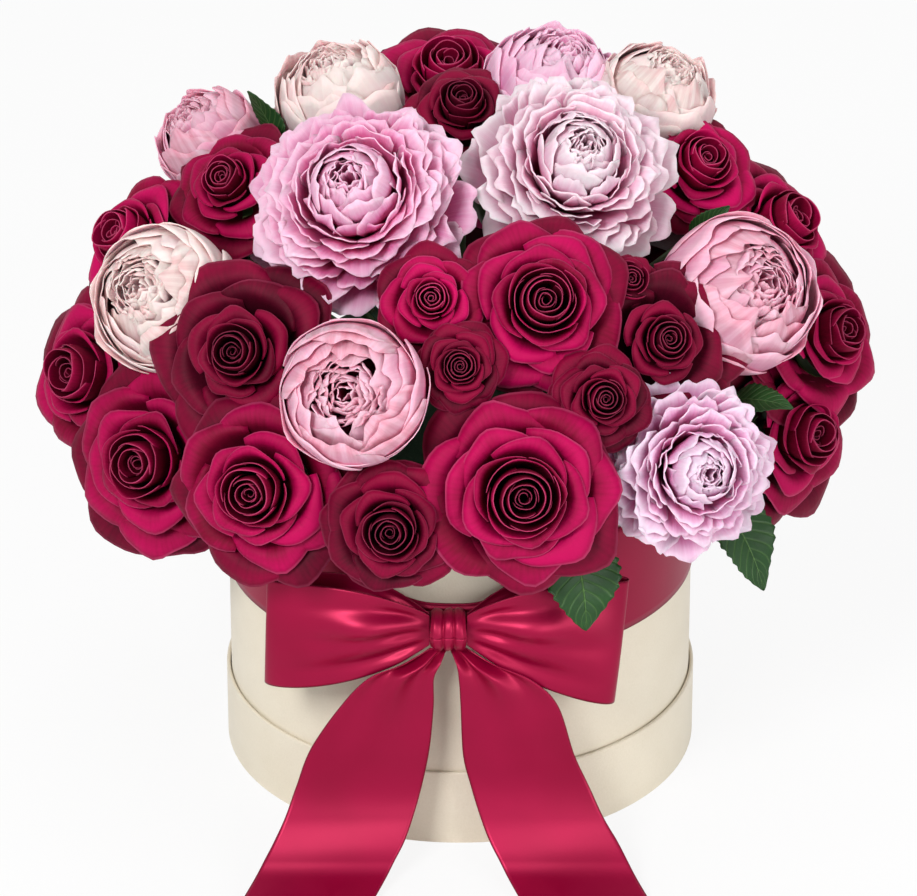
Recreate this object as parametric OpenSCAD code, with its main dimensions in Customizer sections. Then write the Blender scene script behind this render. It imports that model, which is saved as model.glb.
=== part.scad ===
// Flower box: a round hat box standing in its own lid, filled with a dome of roses and peonies
// in wet foam and tied with a satin ribbon. +Z is up, the bow faces -Y, and the origin is the
// middle of the lid's underside.

/* [Box] */
// Outer diameter of the box wall
box_d = 245; // [225:1:270]
// Height of the box wall
box_h = 181; // [165:1:200]
// Thickness of the rolled board in both walls
wall_t = 2; // [1.5:0.1:2.5]
// Thickness of the flat board discs
disc_t = 2; // [1.5:0.1:3]
// Glue line between a disc and the wall around it
glue_gap = 0.1; // [0.05:0.05:0.2]

/* [Lid] */
// Height of the lid's rim
lid_h = 42; // [25:1:60]
// Gap all round between the box and the lid's rim
lid_gap = 0.5; // [0.4:0.1:1.5]

/* [Insert] */
// Gap all round between the box and the liner
liner_gap = 3.5; // [2.5:0.5:5]
// Thickness of the liner's plastic
liner_t = 1.2; // [0.8:0.1:2]
// Distance from the box rim down to the liner's edge
liner_drop = 6; // [3:1:15]
// Gap between the liner and the foam
foam_gap = 0.5; // [0.3:0.1:1]
// Height of the foam's top above the box rim
foam_rise = 62; // [56:1:66]
// Radius of the foam's domed top
foam_dome_r = 135; // [130:1:145]

/* [Ribbon] */
// Width of the ribbon
ribbon_w = 62; // [50:1:70]
// Thickness of the folded ribbon
ribbon_t = 0.6; // [0.4:0.1:1]
// Gap between the band and what it is tied round
ribbon_gap = 0.3; // [0.25:0.05:0.6]
// Height of the band's middle above the lid's underside
band_z = 138; // [125:1:145]
// Sideways offset of the knot from the middle of the box
knot_x = -6; // [-12:1:0]
// Width of the knot
knot_w = 19; // [15:1:24]
// Height and depth of the knot
knot_d = 21; // [17:1:24]
// Distance from the band's middle down to the knot's middle
knot_drop = 5.5; // [2:0.5:9]
// Length of a bow loop from the knot to its fold
loop_l = 82; // [75:1:100]
// Depth of a bow loop at its fold
loop_d = 22; // [16:1:26]
// Height of the gathered ribbon where it enters the knot
gather_h = 17; // [12:1:20]
// Depth of the gathered ribbon where it enters the knot
gather_d = 6; // [4:0.5:8]
// Angle by which the loops hang down
loop_droop = 6; // [3:1:12]
// Angle by which the loops lean back towards the box
loop_sweep = 7; // [5:1:9]
// Depth of the notch cut in the tails' ends
tail_notch = 24; // [10:1:40]

/* [Flowers] */
// Half-width of the dome on which the flower heads sit
dome_r = 176; // [172:1:190]
// Height of that dome above the point where the stems meet
dome_h = 151; // [146:1:160]
// Height above the box rim of the point where the stems meet
focus_rise = 7; // [6:1:10]
// Diameter of a flower stem
stem_d = 4.5; // [3.5:0.1:5]
// Diameter of a leaf stalk
stalk_d = 2.4; // [1.8:0.1:3]
// Gap all round between a stem and its hole in the foam
hole_gap = 0.15; // [0.1:0.05:0.3]
// Distance from the meeting point to the cut end of every stem
stem_end = 30; // [28:1:40]
// Thickness of a petal
petal_t = 0.9; // [0.6:0.1:1.1]
// Least gap between one petal and the next inside it
petal_gap = 0.6; // [0.4:0.1:1]
// Height of a head's middle above the dome, as a share of the head's radius
head_rise = 0.2; // [0:0.05:0.3]
// Number of petals in a large rose
rose_petals = 11; // [9:1:13]
// Number of petals in each ring of a peony
peony_ring = 6; // [5:1:7]
// Number of rings of petals in a peony
peony_rings = 4; // [3:1:5]
// Thickness of a leaf
leaf_t = 0.8; // [0.6:0.1:1.2]
// Length of blade that a leaf's stalk holds
leaf_seat = 3; // [2:0.5:4]

/* [Hidden] */
$fn = 64;
golden = 137.5;
box_r = box_d / 2;
rim_z = disc_t + box_h;
lid_r = box_r + lid_gap;
liner_r = box_r - wall_t - liner_gap;
floor_z = 2 * disc_t;
focus = [0, 0, rim_z + focus_rise];
foam_r = liner_r - liner_t - foam_gap;
foam_z = floor_z + liner_t;
foam_top = rim_z + foam_rise;
band_r = box_r + ribbon_gap;
knot_z = band_z - knot_drop;
knot_y = -(band_r + ribbon_t + ribbon_gap + knot_d / 2);

// Each peony: compass angle from the front, height angle and half the angle it fills, all seen
// from the meeting point of the stems, and how far it reaches compared with the dome
peonies = [
    [-44, 63, 20, 1], [66, 67, 19.5, 1], [-76, 28, 12.5, 1], [-20, 28, 12.3, 1], [41, 11, 13, 1],
    [71, 31, 13, 1], [-117, 40, 8.5, 1.14], [-138, 57, 10.8, 1.06], [148, 58, 8.8, 1.07],
    [122, 51, 7.4, 1.16], [172, 24, 13, 1], [-147, 14, 12, 1], [122, 10, 10, 1]
];
// Each rose, in the same way
roses = [
    [10, 13, 12.5, 1], [20, 44, 12, 1], [-35, 9, 10.5, 1], [-11, 7, 8.5, 1], [-62, 4, 10.5, 1],
    [-47, 29, 9, 1], [0, 34, 5.7, 1], [27, 26, 6.5, 1], [45, 32, 7.3, 1], [83, -1, 8.7, 1],
    [-86, 8, 9.5, 1.1], [-99, 26, 8, 1.12], [-177, 54, 9.5, 1.1], [178, 76, 8.5, 1.03],
    [100, 46, 7.7, 1.1], [101, 28, 8.4, 1.12], [90, 13, 6.8, 1.12], [-96, 46, 7.6, 1.05],
    [46, 44, 3.5, 1], [-7, 46, 6.3, 1], [-113, 3, 9, 1.05], [-122, 21, 9, 1.05],
    [-157, 36, 10, 1.05], [132, 29, 10, 1.04], [158, 42, 7, 1], [148, 8, 11, 1],
    [174, 2, 8, 1], [151, 26, 6, 1]
];
// Each leaf: compass angle, height angle, length of its stalk, angle by which the blade bends
// down, angle by which it turns about its own length, and the blade's length and width
leaves = [
    [22, -1, 156, 66, 0, 48, 38], [52, -0.2, 172, 56, 8, 52, 34], [-119, 50, 168, -8, 80, 36, 16],
    [88, 40.5, 160, 0, 80, 26, 12], [66, 14, 160, 10, 20, 34, 18], [33, 34.5, 142, 0, 60, 22, 9]
];

cream = [0.93, 0.89, 0.81];
crimson = [0.62, 0.08, 0.23];
pink = [0.93, 0.66, 0.77];
burgundy = [0.52, 0.04, 0.2];
green = [0.17, 0.33, 0.16];

// Board tube with a rounded upper edge, from radius r outwards by t
module board_tube(r, t, z, h) {
    translate([0, 0, z]) rotate_extrude($fn = 180) {
        translate([r, 0]) square([t, h - t / 2]);
        translate([r + t / 2, h - t / 2]) circle(t / 2, $fn = 32);
    }
}

module board_disc(r, z) {
    translate([0, 0, z]) cylinder(h = disc_t, r = r, $fn = 180);
}

module lid_panel() {
    color(cream) board_disc(lid_r - glue_gap, 0);
}

module lid_wall() {
    color(cream) board_tube(lid_r, wall_t, 0, lid_h);
}

module box_floor() {
    color(cream) board_disc(box_r - wall_t - glue_gap, disc_t);
}

module box_wall() {
    color(cream) board_tube(box_r - wall_t, wall_t, disc_t, box_h);
}

module liner() {
    liner_h = rim_z - liner_drop - floor_z;
    color("gainsboro") translate([0, 0, floor_z]) rotate_extrude($fn = 180) {
        square([liner_r, liner_t]);
        translate([liner_r - liner_t, 0]) square([liner_t, liner_h]);
    }
}

// Distance from the meeting point to the dome at a height angle
function dome(height) =
    1 / sqrt(pow(cos(height) / dome_r, 2) + pow(sin(height) / dome_h, 2));

// Turns +Z to the direction with these angles, with the meeting point as the origin
module aim(compass, height) {
    translate(focus) rotate([0, 0, compass - 90]) rotate([0, 90 - height, 0]) children();
}

// Straight stem along +Z, from its cut end in the foam to length l
module stem(l, d) {
    translate([0, 0, stem_end]) cylinder(h = l - stem_end, d = d, $fn = 32);
}

module foam() {
    color(green) difference() {
        intersection() {
            translate([0, 0, foam_z]) cylinder(h = foam_top - foam_z, r = foam_r, $fn = 180);
            translate([0, 0, foam_top - foam_dome_r]) rotate([180, 0, 0]) sphere(foam_dome_r, $fn = 180);
        }
        for (f = concat(peonies, roses)) aim(f[0], f[1]) stem(dome_h, stem_d + 2 * hole_gap);
        for (f = leaves) aim(f[0], f[1]) stem(dome_h, stalk_d + 2 * hole_gap);
    }
}

// Half section of a cup's wall: radius r, from angle a0 to angle a1, counted from its lowest point
module cup_profile(r, t, a0, a1) {
    intersection() {
        difference() {
            circle(r);
            circle(r - t);
        }
        polygon([[0, 0], for (k = [0:4]) let (a = a0 + (a1 - a0) * k / 4) 2 * r * [sin(a), -cos(a)]]);
    }
}

// One cupped petal, a part of a sphere round the origin, that spans an angle about the stem and
// reaches up to the angle open, with rounded corners
module petal(r, span, open) {
    spread = open / 2;
    intersection() {
        rotate([0, 0, -span / 2]) rotate_extrude(angle = span) cup_profile(r, petal_t, 8, open);
        rotate([0, 180 - spread, 0]) cylinder(h = 2 * r, r = 0.92 * r);
    }
}

// Rose head of radius r: petals nested in a spiral, the outer ones open and the inner ones closed,
// and as many as its size has room for
module rose_head(r) {
    n = max(4, min(rose_petals, floor(0.78 * r / (petal_t + petal_gap))));
    for (i = [0:n - 1]) let (u = i / (n - 1), cup = r * (0.2 + 0.78 * u))
        translate([0, 0, r * (0.42 - 0.37 * u)]) rotate([0, 0, i * golden])
            petal(cup, 170 - 30 * u, 150 - 52 * u);
    translate([0, 0, -r]) cylinder(h = r * 1.35, r1 = 0.2 * r, r2 = 0.12 * r);
}

// Peony head of radius r: rings of petals round a closed heart
module peony_head(r, rings, n) {
    for (j = [0:rings - 1], i = [0:n - 1])
        let (u = j / (rings - 1), cup = r * (0.98 - 0.62 * u) - (i % 2) * 1.6 * petal_t)
            translate([0, 0, r * (0.05 + 0.2 * u)]) rotate([0, 0, 360 * (i + j * 0.5) / n + 10 * j])
                petal(cup, 400 / n, 100 + 45 * u - 8 * (i % 3));
    translate([0, 0, -r]) cylinder(h = r, r1 = 0.24 * r, r2 = 0.2 * r);
    translate([0, 0, r * 0.2]) sphere(0.26 * r, $fn = 48);
}

// Puts a head of the right size at its place on the dome, with its stem
module cut_flower(f) {
    reach = dome(f[1]) * f[3];
    r = reach * sin(f[2]);
    aim(f[0], f[1]) {
        stem(reach + (head_rise - 0.9) * r, stem_d);
        translate([0, 0, reach + head_rise * r]) children();
    }
}

function head_r(f) = dome(f[1]) * f[3] * sin(f[2]);

module rose(i) {
    color(burgundy) cut_flower(roses[i]) rose_head(head_r(roses[i]));
}

module peony(i) {
    color(pink) cut_flower(peonies[i]) peony_head(head_r(peonies[i]), peony_rings, peony_ring);
}

// Pointed blade along +X, arched upwards
module blade(l, w) {
    side_r = (l * l + w * w) / (4 * w);
    arch_r = 1.6 * l;
    intersection() {
        linear_extrude(l, center = true) intersection() {
            translate([l / 2, side_r - w / 2]) circle(side_r, $fn = 128);
            translate([l / 2, w / 2 - side_r]) circle(side_r, $fn = 128);
        }
        translate([l / 2, 0, leaf_t / 2 - sqrt(arch_r * arch_r - l * l / 4)]) rotate([90, 0, 0]) difference() {
            cylinder(h = 2 * w, r = arch_r, center = true, $fn = 180);
            cylinder(h = 3 * w, r = arch_r - leaf_t, center = true, $fn = 180);
        }
    }
}

module leaf(i) {
    f = leaves[i];
    color(green) aim(f[0], f[1]) {
        stem(f[2], stalk_d);
        translate([0, 0, f[2] - stalk_d / 2]) rotate([0, f[3] - 90, 0]) rotate([f[4], 0, 0])
            translate([-leaf_seat, 0, 0]) blade(f[5], f[6]);
    }
}

// Thin band round the box, narrowed at the front to the height of the gathered ribbon
module ribbon_band() {
    half = ribbon_w / 2;
    drop = knot_drop;
    reach = 0.72 * band_r;
    color(crimson) translate([0, 0, band_z]) difference() {
        translate([0, 0, -half]) cylinder(h = ribbon_w, r = band_r + ribbon_t, $fn = 180);
        translate([0, 0, -half - 1]) cylinder(h = ribbon_w + 2, r = band_r, $fn = 180);
        for (side = [1, -1]) rotate([90, 0, 0]) linear_extrude(2 * band_r) polygon([
            [-reach, side * (half + 1)],
            [knot_x - knot_w / 2, side * gather_h / 2 - drop],
            [knot_x + knot_w / 2, side * gather_h / 2 - drop],
            [reach, side * (half + 1)]
        ]);
    }
}

// Barrel of ribbon wrapped round the gathered bow, with two soft pleats
module bow_knot() {
    crown = 0.8;
    color(crimson) translate([knot_x, knot_y, knot_z]) rotate([0, 90, 0])
        rotate_extrude() difference() {
            translate([0, -knot_w / 2]) square([knot_d / 2, knot_w]);
            for (side = [-1, 1]) translate([knot_d / 2 + crown, side * knot_w / 6]) circle(2 * crown);
        }
}

// One bow loop along +X from the knot: a folded ribbon that opens from the gather to its full width
module bow_loop() {
    fold_r = loop_d / 2;
    fold_x = loop_l - fold_r;
    module outline(in) {
        translate([fold_x, 0]) circle(fold_r - in);
        polygon([
            [0, in - gather_d / 2], [fold_x, in - fold_r], [fold_x, fold_r - in], [0, gather_d / 2 - in]
        ]);
    }
    intersection() {
        linear_extrude(2 * ribbon_w, center = true) difference() {
            outline(0);
            intersection() {
                outline(ribbon_t);
                translate([gather_h / 2, -loop_d]) square([loop_l, 2 * loop_d]);
            }
        }
        rotate([90, 0, 0]) linear_extrude(2 * loop_d, center = true) polygon([
            [0, -gather_h / 2], [0.4 * loop_l, -0.36 * ribbon_w], [loop_l + 1, -ribbon_w / 2],
            [loop_l + 1, ribbon_w / 2], [0.4 * loop_l, 0.36 * ribbon_w], [0, gather_h / 2]
        ]);
    }
}

// A loop on one side of the knot, far enough out for its tilted end to clear the knot
module bow_side(side) {
    tilt = (gather_h * sin(loop_droop) + gather_d * sin(loop_sweep)) / 2;
    translate([knot_x, knot_y, knot_z]) mirror([side < 0 ? 1 : 0, 0, 0])
        translate([knot_w / 2 + ribbon_gap + tilt, 0, 0])
            rotate([0, loop_droop, 0]) rotate([0, 0, loop_sweep]) bow_loop();
}

module bow_loop_left() {
    color(crimson) bow_side(-1);
}

module bow_loop_right() {
    color(crimson) bow_side(1);
}

// Routes of the tails from the knot down to the floor and forward over it. Each row holds the
// distance right of the knot, the distance in front of the knot's middle, the height as a part of
// the knot's height, and half the ribbon's width there as a part of the ribbon's width.
left_tail = [
    [-5, 0, 1, 0.07], [-14, 4, 0.95, 0.16], [-24, 6, 0.89, 0.27], [-31, 7, 0.76, 0.38],
    [-40, 8, 0.55, 0.49], [-47, 9, 0.36, 0.52], [-52, 11, 0.19, 0.53], [-57, 16, 0.07, 0.54],
    [-62, 25, 0.012, 0.54], [-66, 37, 0, 0.54], [-77, 67, 0, 0.54], [-87, 97, 0, 0.54]
];
right_tail = [
    [5, 0, 1, 0.07], [14, 4, 0.95, 0.16], [24, 6, 0.88, 0.3], [31, 7, 0.76, 0.4],
    [37, 8, 0.52, 0.48], [43, 9, 0.36, 0.51], [48, 11, 0.19, 0.52], [54, 16, 0.07, 0.53],
    [59, 25, 0.012, 0.53], [64, 37, 0, 0.53], [74, 67, 0, 0.53], [83, 97, 0, 0.53]
];
tail_steps = 3;

// Point at parameter u on the smooth curve through the rows
function curve(rows, u) =
    let (
        last = len(rows) - 1, i = min(floor(u), last - 1), s = u - i,
        a = rows[max(i - 1, 0)], b = rows[i], c = rows[i + 1], d = rows[min(i + 2, last)]
    ) b + s * ((c - a) / 2 + s * (a - 2.5 * b + 2 * c - d / 2 + s * (-a + 3 * b - 3 * c + d) / 2));

// Flat ribbon laid along a route: three points across, and its thickness towards the viewer
module bow_tail(rows) {
    top = knot_z - knot_d / 2 - ribbon_gap - ribbon_t;
    last = (len(rows) - 1) * tail_steps;
    path = [for (k = [0:last]) let (p = curve(rows, k / tail_steps))
        [knot_x + p[0], knot_y - p[1], top * max(p[2], 0), ribbon_w * p[3]]];
    points = [for (k = [0:last]) let (
            p = path[k],
            step = path[min(k + 1, last)] - path[max(k - 1, 0)],
            n = [0, step[2], -step[1]] / norm([step[1], step[2]]),
            notch = k == last ? tail_notch : 0
        ) for (layer = [0, 1], col = [-1, 0, 1])
            [p[0] + col * p[3], p[1] + (col == 0 ? notch : 0), p[2]] + layer * ribbon_t * n];
    ring = [0, 1, 2, 5, 4, 3];
    walls = [for (k = [0:last - 1], j = [0:5]) let (a = ring[j], b = ring[(j + 1) % 6])
        [6 * k + a, 6 * (k + 1) + a, 6 * (k + 1) + b, 6 * k + b]];
    caps = [[0, 1, 4, 3], [1, 2, 5, 4], for (f = [[3, 4, 1, 0], [4, 5, 2, 1]]) [for (v = f) v + 6 * last]];
    polyhedron(points, concat(walls, caps), convexity = 6);
}

module bow_tail_left() {
    color(crimson) bow_tail(left_tail);
}

module bow_tail_right() {
    color(crimson) bow_tail(right_tail);
}

lid_panel();
lid_wall();
box_floor();
box_wall();
liner();
foam();
ribbon_band();
bow_knot();
bow_loop_left();
bow_loop_right();
bow_tail_left();
bow_tail_right();
for (i = [0:len(peonies) - 1]) peony(i);
for (i = [0:len(roses) - 1]) rose(i);
for (i = [0:len(leaves) - 1]) leaf(i);
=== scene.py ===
# Flower box: a cream hat box standing in its own lid, a dome of roses and peonies in wet foam,
# and a crimson satin ribbon tied in a bow. Metres, +Z up, the bow faces -Y.
import math

import bmesh
import bpy
from mathutils import Matrix, Vector, noise


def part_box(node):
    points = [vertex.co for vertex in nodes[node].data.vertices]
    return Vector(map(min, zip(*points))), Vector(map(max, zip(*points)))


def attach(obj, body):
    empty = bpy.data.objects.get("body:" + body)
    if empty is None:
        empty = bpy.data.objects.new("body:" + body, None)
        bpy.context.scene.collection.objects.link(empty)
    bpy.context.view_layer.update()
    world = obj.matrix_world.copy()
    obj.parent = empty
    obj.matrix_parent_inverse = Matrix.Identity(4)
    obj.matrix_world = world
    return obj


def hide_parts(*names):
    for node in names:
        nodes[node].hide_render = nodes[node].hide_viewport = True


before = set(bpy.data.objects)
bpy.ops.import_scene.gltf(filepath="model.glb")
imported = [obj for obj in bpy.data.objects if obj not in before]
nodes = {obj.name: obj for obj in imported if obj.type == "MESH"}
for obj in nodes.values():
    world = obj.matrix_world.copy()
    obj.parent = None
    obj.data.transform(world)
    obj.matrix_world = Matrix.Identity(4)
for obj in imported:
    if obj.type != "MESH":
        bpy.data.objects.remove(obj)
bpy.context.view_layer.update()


# --- Camera, floor and light -------------------------------------------------------------------
# The camera stands about 3 m in front and looks 27 degrees down. The floor is a plain pale sheet,
# and wide soft lamps above and in front light the flowers as in a studio.
camera = bpy.data.objects.new("camera", bpy.data.cameras.new("camera"))
camera.location = (0.0, -2.5902, 1.5136)
camera.rotation_euler = (math.radians(90 - 27.48), 0, 0)
camera.data.lens = 217.8
camera.data.sensor_width = 36
camera.data.shift_x = -1.6 / 917
bpy.context.scene.collection.objects.link(camera)
bpy.context.scene.camera = camera
bpy.context.scene.view_settings.view_transform = "Standard"


def srgb(red, green, blue):
    """A colour given as it looks on a screen, from 0 to 255, as the linear values of a socket."""
    parts = [value / 255 for value in (red, green, blue)]
    return tuple(p / 12.92 if p <= 0.04045 else ((p + 0.055) / 1.055) ** 2.4 for p in parts) + (1.0,)


class Reading:
    """One number in a material. Python's operators on it add the Math nodes."""

    def __init__(self, finish, socket):
        self.finish = finish
        self.socket = socket

    def math(self, operation, *others):
        values = {i: value for i, value in enumerate((self, *others))}
        return self.finish.add("Math", {"operation": operation}, values)

    def __add__(self, other):
        return self.math("ADD", other)

    __radd__ = __add__

    def __mul__(self, other):
        return self.math("MULTIPLY", other)

    __rmul__ = __mul__

    def __sub__(self, other):
        return self.math("SUBTRACT", other)

    def __rsub__(self, other):
        return (self * -1.0).math("ADD", other)

    def __pow__(self, power):
        return self.math("POWER", power)


class Finish:
    """A material under construction: every node comes from add(), and shade() ends it."""

    def __init__(self, name):
        self.material = bpy.data.materials.new(name)
        self.material.use_nodes = True
        self.tree = self.material.node_tree
        self.shader = self.tree.nodes["Principled BSDF"]

    def add(self, kind, settings=None, values=None, output=0):
        made = self.tree.nodes.new("ShaderNode" + kind)
        for name, value in (settings or {}).items():
            setattr(made, name, value)
        for name, value in (values or {}).items():
            self.put(made.inputs[name], value)
        return Reading(self, made.outputs[output])

    def put(self, socket, value):
        if isinstance(value, Reading):
            self.tree.links.new(value.socket, socket)
        else:
            socket.default_value = value

    def place(self, kind="Object"):
        return self.add("TexCoord", output=kind)

    def grain(self, scale, detail=3.0, where=None, stretch=(1, 1, 1)):
        spot = self.add("Mapping", values={"Vector": where or self.place(), "Scale": stretch})
        return self.add("TexNoise", values={"Vector": spot, "Scale": scale, "Detail": detail})

    def ramp(self, amount, stops):
        """A colour for each amount: stops are (position, colour) pairs in rising order."""
        made = self.tree.nodes.new("ShaderNodeValToRGB")
        line = made.color_ramp.elements
        while len(line) < len(stops):
            line.new(0.5)
        for element, (position, colour) in zip(line, stops):
            element.position = position
            element.color = colour
        self.put(made.inputs["Fac"], amount)
        return Reading(self, made.outputs["Color"])

    def mix(self, amount, first, second, blend="MIX"):
        made = self.tree.nodes.new("ShaderNodeMix")
        made.data_type = "RGBA"
        made.blend_type = blend
        self.put(made.inputs[0], amount)
        self.put(made.inputs[6], first)
        self.put(made.inputs[7], second)
        return Reading(self, made.outputs[2])

    def bump(self, height, distance, strength=1.0):
        values = {"Height": height, "Distance": distance, "Strength": strength}
        return self.add("Bump", values=values)

    def shade(self, **values):
        for name, value in values.items():
            self.put(self.shader.inputs[name.replace("_", " ")], value)
        return self.material


FLOOR_GLOW = 0.88
SKY_LIGHT = 0.36


def studio_floor():
    sheet = bmesh.new()
    bmesh.ops.create_grid(sheet, x_segments=1, y_segments=1, size=20)
    mesh = bpy.data.meshes.new("floor")
    sheet.to_mesh(mesh)
    floor = bpy.data.objects.new("floor", mesh)
    bpy.context.scene.collection.objects.link(floor)
    white = Finish("studio_white")
    glow = white.add("Emission", values={"Color": (1, 1, 1, 1), "Strength": 1.0})
    seen = white.add("LightPath", output="Is Camera Ray")
    for other in ("Is Glossy Ray", "Is Transmission Ray"):
        seen = seen.math("MAXIMUM", white.add("LightPath", output=other))
    plain = white.shade(Base_Color=(0.82, 0.82, 0.82, 1), Roughness=0.9)
    both = white.tree.nodes.new("ShaderNodeMixShader")
    white.put(both.inputs[0], seen * FLOOR_GLOW)
    white.tree.links.new(white.shader.outputs[0], both.inputs[1])
    white.tree.links.new(glow.socket, both.inputs[2])
    white.tree.links.new(both.outputs[0], white.tree.nodes["Material Output"].inputs[0])
    mesh.materials.append(plain)


def studio_sky():
    sky = bpy.data.worlds.new("studio")
    bpy.context.scene.world = sky
    sky.use_nodes = True
    air = sky.node_tree
    plain = air.nodes["Background"]
    plain.inputs["Color"].default_value = (1, 1, 1, 1)
    plain.inputs["Strength"].default_value = SKY_LIGHT
    white = air.nodes.new("ShaderNodeBackground")
    white.inputs["Strength"].default_value = 1.0
    white.inputs["Color"].default_value = (1, 1, 1, 1)
    path = air.nodes.new("ShaderNodeLightPath")
    seen = path.outputs["Is Camera Ray"]
    for other in ("Is Glossy Ray", "Is Transmission Ray"):
        either = air.nodes.new("ShaderNodeMath")
        either.operation = "MAXIMUM"
        air.links.new(seen, either.inputs[0])
        air.links.new(path.outputs[other], either.inputs[1])
        seen = either.outputs[0]
    choice = air.nodes.new("ShaderNodeMixShader")
    air.links.new(seen, choice.inputs[0])
    air.links.new(plain.outputs[0], choice.inputs[1])
    air.links.new(white.outputs[0], choice.inputs[2])
    air.links.new(choice.outputs[0], air.nodes["World Output"].inputs["Surface"])


def lamp(name, place, aim, size, power):
    light = bpy.data.lights.new(name, "AREA")
    light.size = size
    light.energy = power
    made = bpy.data.objects.new(name, light)
    made.location = place
    made.rotation_euler = (Vector(aim) - Vector(place)).to_track_quat("-Z", "Y").to_euler()
    bpy.context.scene.collection.objects.link(made)


studio_floor()
studio_sky()
lamp("key_light", (-1.1, -2.2, 2.0), (0, 0, 0.2), 0.9, 65)
lamp("fill_light", (1.6, -2.0, 0.9), (0, 0, 0.2), 1.4, 30)
lamp("top_light", (0.2, 0.6, 2.4), (0, 0, 0.2), 1.4, 16)


# --- Hat box and lid ---------------------------------------------------------------------------
# Tubes of rolled board with glued board discs, covered in fine-grained pearly cream paper. The
# box stands in its own lid. Inside, the board is left plain.
PAPER = srgb(236, 227, 207)
PAPER_SHADE = srgb(226, 215, 192)


def cream_paper():
    paper = Finish("cream_paper")
    cloud = paper.grain(38, detail=4)
    speck = paper.grain(900, detail=2)
    fibre = paper.grain(2600, detail=2)
    colour = paper.mix(cloud, PAPER_SHADE, PAPER)
    colour = paper.mix(0.10, colour, paper.mix(speck, srgb(150, 135, 110), srgb(255, 255, 250)))
    relief = speck * 0.6 + fibre * 0.4
    return paper.shade(
        Base_Color=colour,
        Roughness=0.42 + 0.25 * speck,
        Normal=paper.bump(relief, 0.0003, 0.55),
        Sheen_Weight=0.15,
        Specular_IOR_Level=0.4,
    )


def dress(node, material):
    """Gives a CAD node its finish."""
    mesh = nodes[node].data
    mesh.materials.clear()
    mesh.materials.append(material)


paper = cream_paper()
for wall in ("lid_wall", "box_wall", "lid_panel"):
    dress(wall, paper)


def plain_board():
    board = Finish("plain_board")
    fibre = board.grain(700, detail=4)
    colour = board.mix(fibre, srgb(198, 184, 158), srgb(222, 211, 188))
    return board.shade(Base_Color=colour, Roughness=0.85, Normal=board.bump(fibre, 0.0002, 0.4))


dress("box_floor", plain_board())


# --- Liner and foam ----------------------------------------------------------------------------
# A thin grey plastic pot keeps the water off the board. The block of wet floral foam in it has a
# domed top, with a hole for each stem.
def liner_plastic():
    plastic = Finish("liner_plastic")
    haze = plastic.grain(60)
    colour = plastic.mix(haze, srgb(196, 200, 200), srgb(214, 218, 217))
    return plastic.shade(Base_Color=colour, Roughness=0.35)


def wet_foam():
    foam = Finish("wet_foam")
    cells = foam.grain(1400, detail=4)
    patch = foam.grain(40)
    colour = foam.mix(cells * 0.7 + patch * 0.3, srgb(18, 40, 26), srgb(44, 82, 52))
    return foam.shade(Base_Color=colour, Roughness=0.9, Normal=foam.bump(cells, 0.0006, 0.8))


dress("liner", liner_plastic())
dress("foam", wet_foam())


# --- Satin ribbon ------------------------------------------------------------------------------
# Crimson satin, 62 mm wide with a fine woven edge. One length is tied round the box, and the bow's
# loops and tails are gathered in the knot, the outer layer of a short piece wrapped round them.
RIBBON_WIDTH = 0.062
RIBBON_THICK = 0.0005
KNOT_GAP = 0.0009
GATHER = 0.017
SATIN = srgb(160, 0, 60)
SATIN_DEEP = srgb(134, 0, 46)
knot_low, knot_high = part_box("bow_knot")
knot = (Vector(knot_low) + Vector(knot_high)) / 2
knot_size = Vector(knot_high) - Vector(knot_low)


def satin():
    """Satin that reads the ribbon's own map: U is across it, and V runs along it in metres."""
    cloth = Finish("crimson_satin")
    spot = cloth.add("SeparateXYZ", values={"Vector": cloth.place("UV")})
    across = spot
    along = Reading(cloth, spot.socket.node.outputs[1])
    rim = (across - 0.5).math("ABSOLUTE")
    edge = (rim - 0.484).math("MULTIPLY", 120).math("MINIMUM", 1).math("MAXIMUM", 0)
    stitch = (along * 3600).math("SINE") * 0.5 + 0.5
    thread = cloth.grain(1500, where=cloth.place("UV"), stretch=(0.25, 0.04, 1))
    cloud = cloth.grain(22, detail=2)
    colour = cloth.mix(cloud, SATIN_DEEP, SATIN)
    colour = cloth.mix(edge * (0.35 + 0.3 * stitch), colour, srgb(96, 6, 34))
    relief = thread * 0.4 + edge * stitch * 1.6
    return cloth.shade(
        Base_Color=colour,
        Roughness=0.36 + 0.08 * thread,
        Metallic=0.45,
        Normal=cloth.bump(relief, 0.00008, 0.5),
        Specular_IOR_Level=0.3,
        Anisotropic=0.4,
    )


SATIN_FINISH = satin()


def ribbon_sheet(name, body, columns, rows, long, lay):
    """A sheet of ribbon: lay(across, along) gives the place of each point, both from 0 to 1."""
    sheet = bmesh.new()
    uv = sheet.loops.layers.uv.new("UVMap")
    bmesh.ops.create_grid(sheet, x_segments=columns, y_segments=rows, size=0.5, calc_uvs=True)
    for face in sheet.faces:
        face.smooth = True
        for loop in face.loops:
            loop[uv].uv.y *= long
    for vertex in sheet.verts:
        vertex.co = lay(vertex.co.x + 0.5, vertex.co.y + 0.5)
    mesh = bpy.data.meshes.new(name)
    sheet.to_mesh(mesh)
    sheet.free()
    made = bpy.data.objects.new(name, mesh)
    bpy.context.scene.collection.objects.link(made)
    mesh.materials.append(SATIN_FINISH)
    wall = made.modifiers.new("thickness", "SOLIDIFY")
    wall.thickness = RIBBON_THICK
    wall.offset = 0
    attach(made, body)
    return made


def ease(value, start, end):
    """0 below start, 1 above end, and a smooth step between them."""
    part = min(max((value - start) / (end - start), 0), 1)
    return part * part * (3 - 2 * part)


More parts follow.
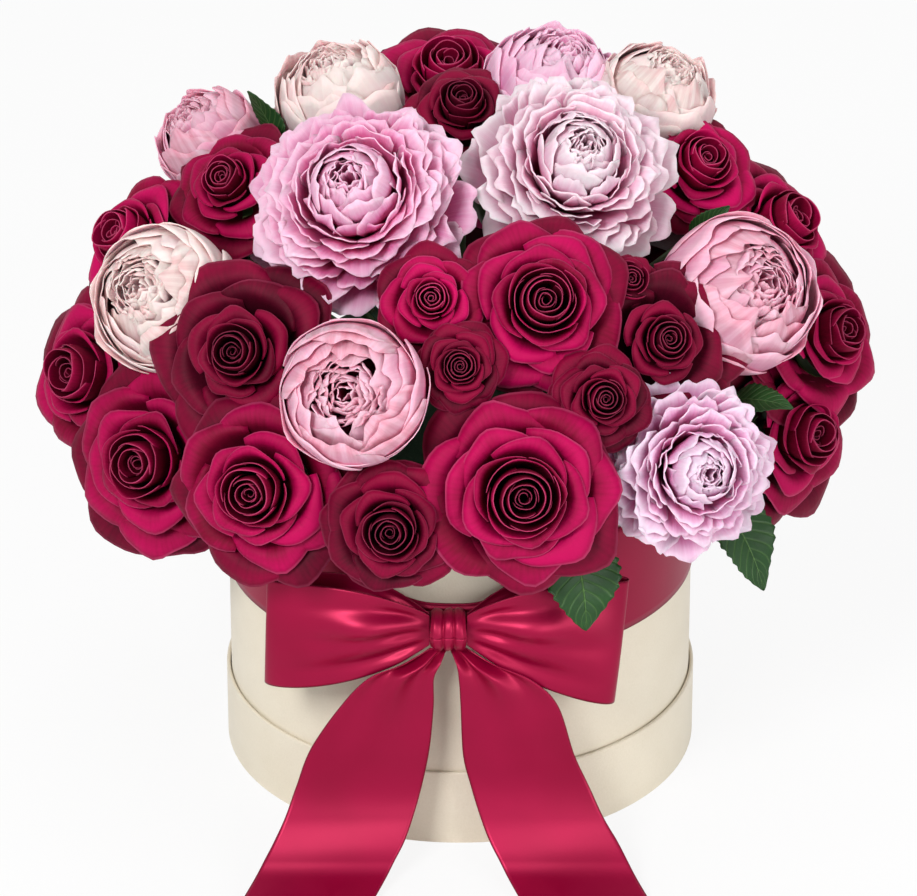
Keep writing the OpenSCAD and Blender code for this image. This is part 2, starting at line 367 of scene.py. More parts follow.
def band():
    low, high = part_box("ribbon_band")
    radius = (high[0] - low[0]) / 2 - 0.0001
    middle = (low[2] + high[2]) / 2
    long = 2 * math.pi * radius

    def lay(across, along):
        turn = (along - 0.5) * 2 * math.pi
        aside = abs(radius * math.sin(turn) - knot.x)
        front = math.cos(turn) > 0
        open_part = ease(aside, knot_size.x * 0.4, 0.085) if front else 1.0
        height = GATHER + (RIBBON_WIDTH - GATHER) * open_part
        drop = (knot.z - middle) * (1 - open_part)
        fold = 0.0008 * (1 - open_part) * math.sin(across * 18)
        return Vector((
            (radius + fold) * math.sin(turn),
            -(radius + fold) * math.cos(turn),
            middle + drop + (across - 0.5) * height,
        ))

    made = ribbon_sheet("ribbon_band_satin", "box", 16, 360, long, lay)
    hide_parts("ribbon_band")


def bow_loop(name, node, side, long, droop, lean, tall, slant):
    """One loop of the bow; long is the ribbon's way out to the fold and back."""
    reach = max(abs(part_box(node)[0][0] - knot.x), abs(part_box(node)[1][0] - knot.x)) - knot_size.x / 2
    reach *= 0.96
    depth = 0.0105

    def lay(across, along):
        turn = (along - 0.5) * 2 * math.pi
        front = -math.copysign(1, turn)
        out = (1 + math.cos(turn)) / 2
        part = out ** 0.8
        near = 1 - part
        away = reach * part
        height = GATHER + (RIBBON_WIDTH * tall - GATHER) * (1 - near ** 2.8)
        slack = 1.15 - 0.55 * across * part
        layer = depth * slack * math.sin(turn) * out ** 0.5 + math.copysign(0.0012, turn) * near
        fan = sum(math.exp(-((across - line) / 0.085) ** 2) for line in (0.18, 0.47, 0.80))
        crease = 0.0052 * (fan - 0.5) * near ** 1.3 * ease(part, 0.0, 0.22)
        hump = math.exp(-((part - 0.40) / 0.22) ** 2 - ((across - 0.60) / 0.26) ** 2)
        puff = 0.0070 * hump + 0.0035 * math.sin(across * math.pi) * part
        sweep = 0.122 * away + lean * (across - 0.5) * part ** 2
        return Vector((
            knot.x + side * (knot_size.x / 2 + away - slant * (1 - across) * part ** 3),
            knot.y + sweep + layer + front * (crease - puff),
            knot.z - droop * part ** 1.8 + (across - 0.5) * height,
        ))

    made = ribbon_sheet(name, "box", 40, 140, long, lay)
    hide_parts(node)


def knot_wrap():
    long = math.pi * knot_size.z

    def lay(across, along):
        turn = along * 2 * math.pi
        x = (across - 0.5) * knot_size.x
        crease = max(math.exp(-((across - c) / 0.05) ** 2) for c in (0.36, 0.66))
        end = abs(across - 0.5) * 2
        radius = knot_size.z / 2 * (1 - 0.13 * crease - 0.16 * ease(end, 0.75, 1.0))
        radius *= 1 + 0.03 * math.sin(across * 9 + 2 * math.sin(turn))
        return Vector((
            knot.x + x * (1 - 0.10 * abs(math.sin(turn))),
            knot.y - radius * math.cos(turn),
            knot.z + radius * math.sin(turn) * 1.02,
        ))

    made = ribbon_sheet("bow_knot_satin", "box", 40, 72, long, lay)
    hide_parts("bow_knot")


# Routes of the tails, like those of their solids but softer at the floor: right of the knot and in
# front of it in millimetres, the height as a part of the knot's, and half the width as a part of
# the ribbon's.
LEFT_TAIL = [
    (-5, 0, 1, 0.07), (-14, 4, 0.95, 0.16), (-24, 6, 0.89, 0.27), (-31, 7, 0.76, 0.38),
    (-40, 8, 0.55, 0.49), (-46, 10, 0.37, 0.52), (-51, 16, 0.25, 0.53), (-56, 23, 0.165, 0.54),
    (-61, 30, 0.105, 0.54), (-66, 39, 0.055, 0.54), (-76, 64, 0.008, 0.54), (-86, 97, 0, 0.54),
]
RIGHT_TAIL = [
    (5, 0, 1, 0.07), (14, 4, 0.95, 0.16), (24, 6, 0.88, 0.3), (31, 7, 0.76, 0.4),
    (36, 8, 0.52, 0.46), (42, 10, 0.37, 0.49), (48, 16, 0.25, 0.51), (54, 23, 0.165, 0.53),
    (59, 30, 0.105, 0.53), (64, 39, 0.055, 0.53), (74, 64, 0.008, 0.53), (83, 97, 0, 0.53),
]
TAIL_NOTCH = 0.024


def on_route(rows, amount):
    """The row at a part of the way along a route, on a smooth curve through its rows."""
    last = len(rows) - 1
    i = min(int(amount * last), last - 1)
    s = amount * last - i
    a, b, c, d = (Vector(rows[k]) for k in (max(i - 1, 0), i, i + 1, min(i + 2, last)))
    return b + s * ((c - a) / 2 + s * (a - 2.5 * b + 2 * c - d / 2 + s * (3 * b - a - 3 * c + d) / 2))


def bow_tail(name, node, rows):
    """One hanging end of the ribbon along its route, cut to a swallow-tail."""
    top = knot.z - knot_size.z / 2 - KNOT_GAP
    long = 0.21

    def lay(across, along):
        x, ahead, height, half = on_route(rows, along)
        near = ease(along, 0.42, 0.0)
        notch = TAIL_NOTCH * (1 - abs(across - 0.5) * 2) * max(0, (along - 0.9) / 0.1)
        z = top * max(height, 0)
        pleat = 0.0035 * near * math.cos(across * 12.6) * min(1, along * 12)
        crown = 0.005 * near * math.sin(across * math.pi) * min(1, along * 6)
        return Vector((
            knot.x + x / 1000 + (across - 0.5) * 2 * half * RIBBON_WIDTH,
            knot.y - ahead / 1000 - crown - pleat + notch,
            z + RIBBON_THICK,
        ))

    made = ribbon_sheet(name, "box", 32, 150, long, lay)
    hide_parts(node)


knot_wrap()
band()
bow_loop("bow_loop_left_satin", "bow_loop_left", -1, 0.184, 0.006, 0.004, 0.93, -0.002)
bow_loop("bow_loop_right_satin", "bow_loop_right", 1, 0.179, 0.012, 0.016, 1.0, 0.007)
bow_tail("bow_tail_left_satin", "bow_tail_left", LEFT_TAIL)
bow_tail("bow_tail_right_satin", "bow_tail_right", RIGHT_TAIL)


# --- Roses -------------------------------------------------------------------------------------
# Cut crimson roses. Each head is a spiral of velvety petals, tight in the heart and rolled
# outwards at the rim, on a calyx and a green stem that is pushed into the foam.
FOCUS = Vector((0, 0, 0.190))
STEM_FOOT = 0.030
STEM_RADIUS = 0.0022
GOLDEN_ANGLE = math.radians(137.508)


def head_of(node):
    """Centre, direction and radius of a flower head, read from its solid."""
    points = [vertex.co - FOCUS for vertex in nodes[node].data.vertices]
    near = min(point.length for point in points)
    cut_end = [point for point in points if point.length < near + 0.001]
    axis = sum(cut_end, Vector()).normalized()
    aside = max((point - point.dot(axis) * axis).length for point in points)
    widest = [p.dot(axis) for p in points if (p - p.dot(axis) * axis).length > aside * 0.99]
    radius = aside / 0.98
    return FOCUS + axis * (sum(widest) / len(widest) - 0.05 * radius), axis, radius


def facing(axis, lean):
    """A turn that brings +Z to the way a flower looks: its stem's, leaned to the front."""
    front = Vector((0, -0.89, 0.45))
    if lean is None:
        lean = 1.5 * ease(axis.dot(front), -0.25, 0.35)
    look = (axis + lean * front).normalized()
    return look.to_track_quat("Z", "Y").to_matrix().to_4x4()


def ripple(place, size, salt):
    """A smooth wobble from -1 to 1 that differs from petal to petal."""
    return noise.noise(Vector((place[0] * size + salt * 7.3, place[1] * size - salt * 3.1, salt)))


class Head:
    """A flower head under construction, its stem's direction along +Z and its centre at 0."""

    def __init__(self):
        self.mesh = bmesh.new()
        self.uv = self.mesh.loops.layers.uv.new("UVMap")
        self.tone = self.mesh.verts.layers.float_color.new("petal")

    def petal(self, columns, rows, shape, place, chance, slot=0):
        """shape(across, up) gives a petal's points; across runs from -1 to 1, up from 0 to 1."""
        made = bmesh.ops.create_grid(
            self.mesh, x_segments=columns, y_segments=rows, size=1.0, calc_uvs=True
        )
        for vertex in made["verts"]:
            vertex[self.tone] = (place, chance, 0, 1)
            vertex.co = shape(vertex.co.x, (vertex.co.y + 1) / 2)
            for face in vertex.link_faces:
                face.smooth = True
                face.material_index = slot

    def tube(self, radius_low, radius_high, low, high, slot):
        made = bmesh.ops.create_cone(
            self.mesh, cap_ends=True, segments=12, radius1=radius_low, radius2=radius_high,
            depth=high - low, matrix=Matrix.Translation((0, 0, (low + high) / 2)), calc_uvs=True,
        )
        for vertex in made["verts"]:
            vertex[self.tone] = (0, 0.5, 0, 1)
            for face in vertex.link_faces:
                face.smooth = len(face.verts) == 4
                face.material_index = slot

    def neck(self, line, thick, slot):
        """A round stalk along the curve that four points pull into shape."""
        a, b, c, d = line
        steps = 10
        ring = bmesh.ops.create_circle(self.mesh, segments=10, radius=thick)["verts"]
        before = Matrix.Identity(4)
        for step in range(steps + 1):
            t = step / steps
            s = 1 - t
            spot = s * s * s * a + 3 * s * s * t * b + 3 * s * t * t * c + t * t * t * d
            way = s * s * (b - a) + 2 * s * t * (c - b) + t * t * (d - c)
            after = Matrix.Translation(spot) @ way.to_track_quat("Z", "Y").to_matrix().to_4x4()
            if step:
                rim = [e for e in {e for v in ring for e in v.link_edges} if set(e.verts) <= set(ring)]
                made = bmesh.ops.extrude_edge_only(self.mesh, edges=rim)["geom"]
                ring = [item for item in made if isinstance(item, bmesh.types.BMVert)]
            bmesh.ops.transform(self.mesh, matrix=after @ before.inverted(), verts=ring)
            before = after
            for face in {face for vertex in ring for face in vertex.link_faces}:
                face.smooth = True
                face.material_index = slot

    def finish(self, name, node, slot, lean, place, materials, thickness):
        """Turns the head to its way of looking, adds the stem and makes it a piece."""
        centre, axis, radius = place
        turn = facing(axis, lean)
        look = (turn @ Vector((0, 0, 1))).normalized()
        bmesh.ops.transform(self.mesh, matrix=turn, verts=self.mesh.verts)
        foot = (STEM_FOOT - (centre - FOCUS).length) * axis
        bend = -1.75 * radius * axis
        stem = [foot, foot.lerp(bend, 0.4), foot.lerp(bend, 0.6), bend]
        self.neck(stem, STEM_RADIUS, 1)
        turned_in = [bend, -1.35 * radius * axis, -1.45 * radius * look, -0.95 * radius * look]
        self.neck(turned_in, STEM_RADIUS, 1)
        bmesh.ops.translate(self.mesh, vec=centre, verts=self.mesh.verts)
        mesh = bpy.data.meshes.new(name)
        self.mesh.to_mesh(mesh)
        self.mesh.free()
        for material in materials:
            mesh.materials.append(material)
        made = bpy.data.objects.new(name, mesh)
        bpy.context.scene.collection.objects.link(made)
        wall = made.modifiers.new("thickness", "SOLIDIFY")
        wall.thickness = thickness
        wall.offset = 0
        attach(made, "insert")
        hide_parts(node)


def petal_map(finish):
    """The parts of a petal that its finish follows, each from 0 to 1."""
    uv = finish.add("SeparateXYZ", values={"Vector": finish.place("UV")})
    up = Reading(finish, uv.socket.node.outputs[1])
    aside = (uv - 0.5).math("ABSOLUTE") * 2
    own = finish.add("Attribute", {"attribute_name": "petal"})
    own = finish.add("SeparateColor", values={"Color": own})
    chance = Reading(finish, own.socket.node.outputs[1])
    return up, aside, own, chance


# Rose petals whose colour carries painted light. Painted shade makes each petal darker towards its base
# and makes the petals of the heart darker, where the petals cover each other. A thin pale rim colour
# along the top edge is a painted highlight.
def rose_petals(name, deep, mid, bright, rim):
    rose = Finish(name)
    up, aside, place, chance = petal_map(rose)
    vein = rose.grain(1, detail=4, where=rose.place("UV"), stretch=(34, 2.5, 1))
    velvet = rose.grain(420, detail=3)
    cloud = rose.grain(55, detail=2)
    # Painted shade: up and place darken the base of each petal and the petals of the heart. Chance,
    # cloud and vein add the petals' own random tone.
    lit = up * 0.62 + place * 0.42 + (chance - 0.5) * 0.26 + (cloud - 0.5) * 0.4
    lit = lit + (vein - 0.5) * 0.24
    colour = rose.ramp(lit, [(0.25, deep), (0.66, mid), (1.0, bright)])
    # Painted highlight: the rim colour along the petal's top edge.
    edge = ((up - 0.972).math("MULTIPLY", 60)).math("MAXIMUM", 0).math("MINIMUM", 1)
    colour = rose.mix(edge * (0.20 + 0.42 * cloud), colour, rim)
    return rose.shade(
        Base_Color=colour,
        Roughness=0.56 + 0.12 * velvet,
        Normal=rose.bump(vein * 0.6 + velvet * 0.4, 0.0006, 0.35),
        Specular_IOR_Level=0.12,
    )


def green_stem():
    stem = Finish("green_stem")
    streak = stem.grain(160, stretch=(1, 1, 0.15))
    colour = stem.mix(streak, srgb(34, 56, 28), srgb(66, 92, 46))
    return stem.shade(Base_Color=colour, Roughness=0.5, Normal=stem.bump(streak, 0.0003, 0.5))


STEM = green_stem()
ROSE_CRIMSON = rose_petals(
    "rose_crimson", srgb(34, 0, 10), srgb(112, 0, 38), srgb(176, 2, 78), srgb(200, 84, 124)
)
# A darker copy of the crimson. Some roses wear it as their own wine tone, and the outer guard petals of
# every rose wear it as painted shade in the gaps between the heads.
ROSE_WINE_AND_SHADE = rose_petals(
    "rose_wine_and_shade", srgb(24, 0, 8), srgb(76, 0, 26), srgb(128, 0, 48), srgb(160, 62, 92)
)
ROSE_RUBY = rose_petals(
    "rose_ruby", srgb(46, 0, 16), srgb(132, 0, 48), srgb(188, 4, 86), srgb(208, 92, 134)
)


def chance_of(salt):
    """A number from 0 to 1 that looks random and is the same every time."""
    return 0.5 + 0.5 * math.sin(salt * 12.9898) * math.cos(salt * 4.1414)


def bend_line(points, t):
    """A point at t on the curve that these four points pull into shape."""
    a, b, c, d = points
    s = 1 - t
    return (
        s * s * s * a[0] + 3 * s * s * t * b[0] + 3 * s * t * t * c[0] + t * t * t * d[0],
        s * s * s * a[1] + 3 * s * s * t * b[1] + 3 * s * t * t * c[1] + t * t * t * d[1],
    )


def rose_petal(radius, place, salt, closed=0.0, low=0.0, wide=1.0):
    """A petal from the calyx up: place 0 is in the heart, closed over it, and 1 is rolled out."""
    chance = chance_of(salt)
    other = chance_of(salt + 5.7)
    spread = ease(place, 0.30, 0.80) * (1 - closed)
    rim = radius * (0.06 + 0.94 * place ** 1.25) * (1 + 0.12 * (chance - 0.5))
    rise = 0.26 + 0.20 * ease(place, 0.0, 0.35) - 0.62 * spread * place + 0.12 * (other - 0.5)
    high = radius * (rise - low)
    line = [
        (0.06 * radius, -0.80 * radius),
        (rim * (1.05 - 0.25 * spread), radius * (-0.52 + 0.20 * (1 - place) - 0.6 * low)),
        (
            rim * (1.12 - 0.50 * spread),
            high + radius * ((0.14 + 0.12 * chance) * spread - 0.10 * (1 - spread)),
        ),
        (rim * (0.92 + 0.08 * spread), high - radius * 0.08 * spread * other),
    ]
    half = math.radians((118 - 70 * place ** 0.7) * wide)
    roll = radius * (0.03 + 0.17 * spread) * (0.5 + chance)
    tuck = 0.07 * rim
    slope = 0.10 * radius * (other - 0.5) * (1 - 0.5 * spread)

    def shape(across, up):
        top = up * (1 - 0.16 * abs(across) ** 2.6 + 0.02 * math.cos(across * 3.1 + salt))
        out, z = bend_line(line, top)
        wave = ripple((across * 1.1, up * 0.7), 1.5, salt)
        point = math.exp(-((across - 0.3 * (chance - 0.5)) / 0.24) ** 2)
        out += tuck * across * top + radius * 0.055 * wave * top * top * (0.25 + place)
        out += radius * 0.07 * (point - 0.25) * spread * top ** 4
        side = max(0, (abs(across) - 0.30) / 0.70) ** 1.8 * top ** 3
        out -= 0.25 * roll * side
        z += slope * across * top - roll * side * 0.9
        z -= radius * 0.03 * math.sin(across * 4 + salt) * top ** 3 * spread
        angle = half * across
        return Vector((out * math.cos(angle), out * math.sin(angle), z))

    return shape, chance


def turned(shape, turn):
    """The same petal, turned about the flower's axis."""
    matrix = Matrix.Rotation(turn, 3, "Z")
    return lambda across, up: matrix @ shape(across, up)


def rose(number, finish, lean=None, size=1.07, petals=22, collar=1.3, closed=0.0, shade_guard_finish=ROSE_WINE_AND_SHADE):
    node = f"rose_{number}"
    centre, axis, radius = head_of(node)
    radius *= size
    head = Head()
    for i in range(petals):
        place = i / (petals - 1)
        shape, chance = rose_petal(radius, place, number * 3.7 + i * 1.31, closed)
        head.petal(16, 12, turned(shape, i * GOLDEN_ANGLE + number * 1.9), place, chance)
    # Two rings of guard petals round the head. The inner ring is in the head's own finish. The outer
    # ring is lower, larger and in the darker finish: painted shade that fills the gaps between
    # neighbouring heads.
    guards = 6
    for i in range(2 * guards):
        salt = number * 5.1 + i * 2.7
        inner = i < guards
        turn = (i + 0.5 * chance_of(salt) + 0.5 * inner) * 2 * math.pi / guards + number
        reach = 0.45 * collar + 0.62 if inner else collar
        big = radius * (reach + 0.20 * (chance_of(salt + 1) - 0.5))
        shape, chance = rose_petal(big, 0.97, salt, low=0.12 if inner else 0.20, wide=0.9)
        head.petal(14, 11, turned(shape, turn), 0.62, chance, slot=0 if inner else 2)
    for i in range(5):
        turn = i * math.radians(72) + number

        def sepal(across, up):
            out = radius * (0.1 + 0.66 * math.sin(up * 1.35))
            z = radius * (-0.95 + 0.55 * up ** 1.6)
            angle = turn + 0.42 * across * (1 - up) ** 0.7
            return Vector((out * math.cos(angle), out * math.sin(angle), z))

        head.petal(4, 7, sepal, 0, 0.5, slot=1)
    head.tube(0.0024, 0.19 * radius, -1.10 * radius, -0.76 * radius, 1)
    paints = [finish, STEM, shade_guard_finish]
    head.finish(f"{node}_head", node, "rose_petal", lean, (centre, axis, radius), paints, 0.0004)


ROSES = {
    1: dict(petals=26), 2: dict(petals=26), 3: dict(collar=1.45), 4: dict(finish=ROSE_WINE_AND_SHADE),
    5: dict(size=1.15, collar=1.45), 6: dict(finish=ROSE_WINE_AND_SHADE, collar=1.85),
    7: dict(finish=ROSE_WINE_AND_SHADE), 8: dict(finish=ROSE_WINE_AND_SHADE), 9: dict(finish=ROSE_WINE_AND_SHADE, collar=2.1),
    10: dict(size=1.2, collar=1.6), 11: dict(size=1.12), 12: dict(size=1.2, finish=ROSE_RUBY),
    13: dict(size=1.25, finish=ROSE_RUBY, lean=1.4), 14: dict(finish=ROSE_WINE_AND_SHADE),
    15: dict(size=1.2, finish=ROSE_RUBY), 16: dict(size=1.2, collar=1.4),
    17: dict(size=1.3, collar=1.7),
    18: dict(collar=1.6), 19: dict(finish=ROSE_WINE_AND_SHADE, petals=14, closed=0.8),
    20: dict(finish=ROSE_RUBY, petals=20, collar=1.6),
    **{number: dict(collar=1.7) for number in range(21, 27)},
    27: dict(size=1.2, collar=1.9), 28: dict(size=1.2, collar=1.9),
}
for number in range(1, 29):
    rose(number, **{"finish": ROSE_CRIMSON, **ROSES.get(number, {})})


# --- Peonies -----------------------------------------------------------------------------------
# Double peonies. Broad wavy guard petals hold a full heart of narrow ruffled ones, pale at their
# notched tips and deeper pink at the base; seven of the heads are still closed to a globe.
def peony_petals(name, deep, mid, pale, streak):
    peony = Finish(name)
    up, aside, place, chance = petal_map(peony)
    vein = peony.grain(1, detail=4, where=peony.place("UV"), stretch=(26, 1.6, 1))
    cloud = peony.grain(60, detail=2)
    lit = up * 0.88 + place * 0.12 + (chance - 0.5) * 0.16 + (cloud - 0.5) * 0.22
    lit = lit + (vein - 0.5) * 0.18
    colour = peony.ramp(lit, [(0.34, deep), (0.70, mid), (0.98, pale)])
    flame = peony.grain(1, detail=3, where=peony.place("UV"), stretch=(9, 0.8, 1))
    marked = (flame * 1.7 - 0.93 + (up - 0.75) * 1.3).math("MAXIMUM", 0).math("MINIMUM", 1)
    marked = marked * (chance - streak).math("GREATER_THAN", 0)
    colour = peony.mix(marked * 0.85, colour, srgb(176, 30, 56))
    return peony.shade(
        Base_Color=colour,
        Roughness=0.52 + 0.1 * cloud,
        Normal=peony.bump(vein, 0.0008, 0.4),
        Specular_IOR_Level=0.12,
        Subsurface_Weight=0.4,
        Subsurface_Radius=(1.0, 0.4, 0.5),
        Subsurface_Scale=0.006,
    )


PEONY_PINK = peony_petals(
    "peony_pink", srgb(196, 40, 106), srgb(222, 114, 164), srgb(242, 190, 214), 2
)
PEONY_BLUSH = peony_petals(
    "peony_blush", srgb(212, 96, 142), srgb(230, 168, 194), srgb(244, 216, 226), 2
)
PEONY_ROSE = peony_petals(
    "peony_rose", srgb(196, 60, 110), srgb(216, 118, 154), srgb(238, 180, 198), 0.56
)
PEONY_CREAM = peony_petals(
    "peony_cream", srgb(214, 112, 140), srgb(232, 184, 192), srgb(244, 218, 214), 0.60
)
PEONY_LILAC = peony_petals(
    "peony_lilac", srgb(198, 70, 128), srgb(218, 142, 184), srgb(240, 204, 226), 2
)


def peony_petal(radius, rim, high, width, salt, flare, frill=1.0):
    """A petal from the calyx up: flare 0 closes it over the heart, and 1 lays it outwards."""
    chance = chance_of(salt)
    line = [
        (0.30 * rim, radius * (-0.60 + 0.3 * min(high, 0))),
        (rim * (0.95 - 0.40 * flare), radius * (high - 0.42 + 0.02 * flare)),
        (rim * (1.16 - 0.42 * flare), radius * (high - 0.10 + 0.12 * flare)),
        (rim * (0.72 + 0.28 * flare), radius * (high + 0.02 - 0.02 * flare)),
    ]

    def shape(across, up):
        scallop = 0.045 * math.cos(across * 6.5 + salt) + 0.018 * math.sin(across * 12 + salt)
        scallop *= frill
        rounded = 1 - 0.42 * (1 - math.sqrt(max(0, 1 - 0.94 * across * across)))
        top = min(up * (rounded + scallop * up ** 3), 1.07)
        out, z = bend_line(line, top)
        wave = ripple((across * 1.2, up), 2.0, salt)
        out += radius * 0.050 * frill * wave * top * top
        z += radius * 0.026 * frill * math.sin(across * 5.5 + salt * 2) * top ** 3
        z += radius * 0.16 * (chance - 0.15) * across * across * top ** 2 * flare
        spread = width * (0.32 + 0.68 * math.sin(min(top, 1) * 1.45)) * across
        return Vector((out - 0.32 * spread * spread / max(rim, width), spread, z))

    return shape, chance


def globe_petals(head, radius, count, opening, salt, cup, rise=0.02):
    """A ring of broad smooth petals that close over the heart; opening is in degrees."""
    for i in range(count):
        grain = salt + i * 1.7
        chance = chance_of(grain)
        turn = (i + 0.5 * (chance - 0.5)) * 2 * math.pi / count + salt
        wall_r = radius * (cup - 0.025 * (i % 3))
        reach = math.radians(opening + 12 * (chance - 0.5))
        half = math.radians(270 / count)

        def shape(across, up):
            notch = 0.034 * math.cos(across * 5 + grain) + 0.016 * math.sin(across * 11 + grain)
            top = up * (1 - 0.20 * abs(across) ** 2.6 + notch * up ** 4)
            polar = math.radians(6) + (reach - math.radians(6)) * top
            wave = ripple((across, up), 1.8, grain)
            lip = 0.05 * max(0, (top - 0.84) / 0.16) ** 2 * (0.4 + chance)
            wall = wall_r * (1 + 0.05 * across) + radius * (0.05 * wave * top ** 2 + lip)
            out = wall * math.sin(polar)
            high = radius * rise - wall * math.cos(polar) * 1.02
            angle = turn + half * across
            return Vector((out * math.cos(angle), out * math.sin(angle), high))

        head.petal(16, 12, shape, 0.9, chance)


def peony_whorls(head, radius, count, salt, inner, outer, rise, fall, width=0.30, pale=0.0):
    """Petals in a spiral over a dome, closed in the middle and laid outwards at the edge."""
    for i in range(count):
        reach = inner + (outer - inner) * ((i + 0.5) / count) ** 0.62
        grain = salt + i * 2.3
        other = chance_of(grain + 4.1)
        flare = min(max(ease(reach, 0.30, 0.74) + 0.55 * (other - 0.5), 0), 1)
        high = rise - fall * max(0, (reach - 0.28) / 0.72) ** 1.6 + 0.16 * (chance_of(grain + 8) - 0.5)
        wide = radius * min(width, 1.3 * reach) * (0.65 + 0.7 * other)
        rim = radius * reach * (1 + 0.16 * (chance_of(grain + 2.9) - 0.5))
        shape, chance = peony_petal(radius, rim, high, wide, grain, flare, frill=1.1)
        turn = i * GOLDEN_ANGLE + salt + 0.6 * (other - 0.5)
        head.petal(10, 9, turned(shape, turn), 0.75 * reach + pale, chance)


# Rings of a head that is still closed: petals, opening from the stem up in degrees, and radius.
GLOBE_RINGS = [(5, 104, 0.97), (5, 121, 0.95), (6, 134, 0.92), (6, 144, 0.87), (5, 152, 0.80)]


def peony(number, finish, kind="open", lean=None, size=1.05, heart=76):
    node = f"peony_{number}"
    centre, axis, radius = head_of(node)
    radius *= size
    head = Head()
    if kind == "open":
        for i in range(11):
            grain = number * 2.1 + i * 1.7
            rim = radius * (0.98 + 0.12 * chance_of(grain + 1))
            shape, chance = peony_petal(radius, rim, -0.30, 0.36 * radius, grain, 1.0)
            head.petal(14, 11, turned(shape, (i + 0.5 * chance) * 2 * math.pi / 11), 0.9, chance)
        peony_whorls(head, radius, heart, number * 1.3, 0.26, 0.99, rise=0.48, fall=0.62, width=0.28)
        globe_petals(head, 0.36 * radius, 6, 134, number * 3.1, 1.0, rise=0.95)
        globe_petals(head, 0.36 * radius, 5, 150, number * 1.7, 0.84, rise=0.95)
        peony_whorls(
            head, radius, 20, number * 1.9, 0.03, 0.22, rise=0.60, fall=0.1, width=0.16, pale=0.9
        )
    else:
        for ring, (count, opening, cup) in enumerate(GLOBE_RINGS):
            globe_petals(head, radius, count, opening, number * 2.1 + ring * 4.3, cup)
        peony_whorls(
            head, radius, heart, number * 1.3, 0.04, 0.52, rise=0.75, fall=0.12, width=0.24, pale=0.9
        )
    head.tube(0.0026, 0.26 * radius, -1.04 * radius, -0.70 * radius, 1)
    place = (centre, axis, radius)
    head.finish(f"{node}_head", node, "peony_petal", lean, place, [finish, STEM], 0.00045)


PEONIES = {
    1: dict(finish=PEONY_PINK), 2: dict(finish=PEONY_BLUSH),
    3: dict(finish=PEONY_CREAM, kind="globe", lean=1.1, heart=46),
    4: dict(finish=PEONY_ROSE, kind="globe", heart=46),
    5: dict(finish=PEONY_LILAC, size=1.12, heart=62),
    6: dict(finish=PEONY_ROSE, kind="globe", lean=1.1, heart=44, size=1.1),
    7: dict(finish=PEONY_ROSE, kind="globe", lean=0.6, heart=30),
    8: dict(finish=PEONY_CREAM, kind="globe", lean=0.7, heart=38, size=1.12),
    9: dict(finish=PEONY_PINK, kind="globe", size=1.5, lean=0.7, heart=44),
    10: dict(finish=PEONY_CREAM, kind="globe", size=1.4, lean=0.5, heart=40),
    11: dict(finish=PEONY_PINK, size=1.3), 12: dict(finish=PEONY_BLUSH, size=1.4),
    13: dict(finish=PEONY_LILAC, size=1.3),
}
for number, look in PEONIES.items():
    peony(number, **look)


# --- Leaves ------------------------------------------------------------------------------------
# A few rose leaves, dark green and a little glossy, with serrated edges and pressed veins. Each
# is on its own stalk in the foam: compass, height, stalk, bend, turn, blade length and width.
LEAVES = [
    (22, -1, 156, 66, 0, 48, 38), (52, -0.2, 172, 56, 8, 52, 34), (-119, 50, 168, -8, 80, 36, 16),
    (88, 40.5, 160, 0, 80, 26, 12), (66, 14, 160, 10, 20, 34, 18), (33, 34.5, 142, 0, 60, 22, 9),
]


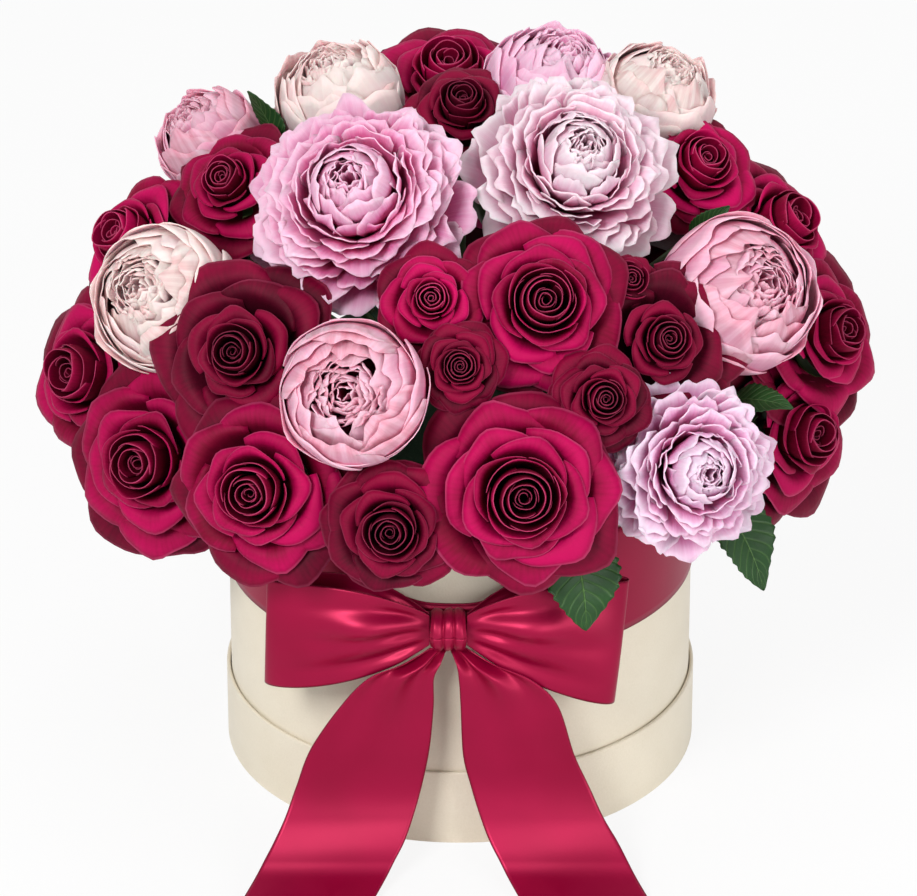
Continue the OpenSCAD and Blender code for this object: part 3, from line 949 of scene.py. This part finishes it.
def rose_leaf():
    leaf = Finish("rose_leaf")
    uv = leaf.add("SeparateXYZ", values={"Vector": leaf.place("UV")})
    up = Reading(leaf, uv.socket.node.outputs[1])
    aside = (uv - 0.5).math("ABSOLUTE") * 2
    rib = (1 - aside * 26).math("MAXIMUM", 0)
    ribs = ((up * 9 - aside * 2.4) * 6.283).math("COSINE") * 0.5 + 0.5
    side_veins = ribs ** 9
    fine = leaf.grain(700, detail=4)
    cloud = leaf.grain(70)
    colour = leaf.mix(cloud * 0.7 + fine * 0.3, srgb(12, 38, 16), srgb(40, 82, 34))
    colour = leaf.mix(rib * 0.6 + side_veins * 0.22, colour, srgb(96, 134, 70))
    relief = fine * 0.25 - rib * 1.2 - side_veins * 0.8
    return leaf.shade(
        Base_Color=colour,
        Roughness=0.36 + 0.14 * fine,
        Normal=leaf.bump(relief, 0.0006, 0.6),
        Specular_IOR_Level=0.25,
    )


LEAF = rose_leaf()


def leaf(number, compass, height, stalk, bend, turn, length, width):
    aim = (
        Matrix.Translation(FOCUS)
        @ Matrix.Rotation(math.radians(compass - 90), 4, "Z")
        @ Matrix.Rotation(math.radians(90 - height), 4, "Y")
    )
    joint = (
        aim
        @ Matrix.Translation((0, 0, stalk / 1000 - 0.0012))
        @ Matrix.Rotation(math.radians(bend - 90), 4, "Y")
        @ Matrix.Rotation(math.radians(turn), 4, "X")
    )
    long = length / 1000
    wide = width / 1000
    blade = Head()

    def shape(across, up):
        tooth = 1 + 0.05 * abs(across) ** 6 * math.sin(up * 66 - 1.2)
        body = math.sin(math.pi * up ** 0.80) ** 0.75 * (1 - 0.30 * up ** 3)
        half = wide / 2 * 1.08 * body * tooth + 0.0003
        arch = 0.35 * long * (up - up * up) - 0.0030
        fold = 0.16 * half * abs(across) ** 1.3
        wave = 0.035 * wide * math.sin(up * 11 + number) * across * across
        x = long * (up - 0.10 * abs(across) * (1 - up) * up) - 0.003
        return Vector((x, half * across, arch + fold + wave))

    blade.petal(20, 44, shape, 0, 0.5)
    bmesh.ops.transform(blade.mesh, matrix=joint, verts=blade.mesh.verts)
    count = len(blade.mesh.verts)
    blade.tube(0.0012, 0.0011, STEM_FOOT, stalk / 1000, 1)
    blade.mesh.verts.ensure_lookup_table()
    bmesh.ops.transform(blade.mesh, matrix=aim, verts=blade.mesh.verts[count:])
    mesh = bpy.data.meshes.new(f"leaf_{number}_blade")
    blade.mesh.to_mesh(mesh)
    blade.mesh.free()
    mesh.materials.append(LEAF)
    mesh.materials.append(STEM)
    made = bpy.data.objects.new(f"leaf_{number}_blade", mesh)
    bpy.context.scene.collection.objects.link(made)
    wall = made.modifiers.new("thickness", "SOLIDIFY")
    wall.thickness = 0.0004
    wall.offset = 0
    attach(made, "insert")
    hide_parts(f"leaf_{number}")


for number, row in enumerate(LEAVES, 1):
    leaf(number, *row)
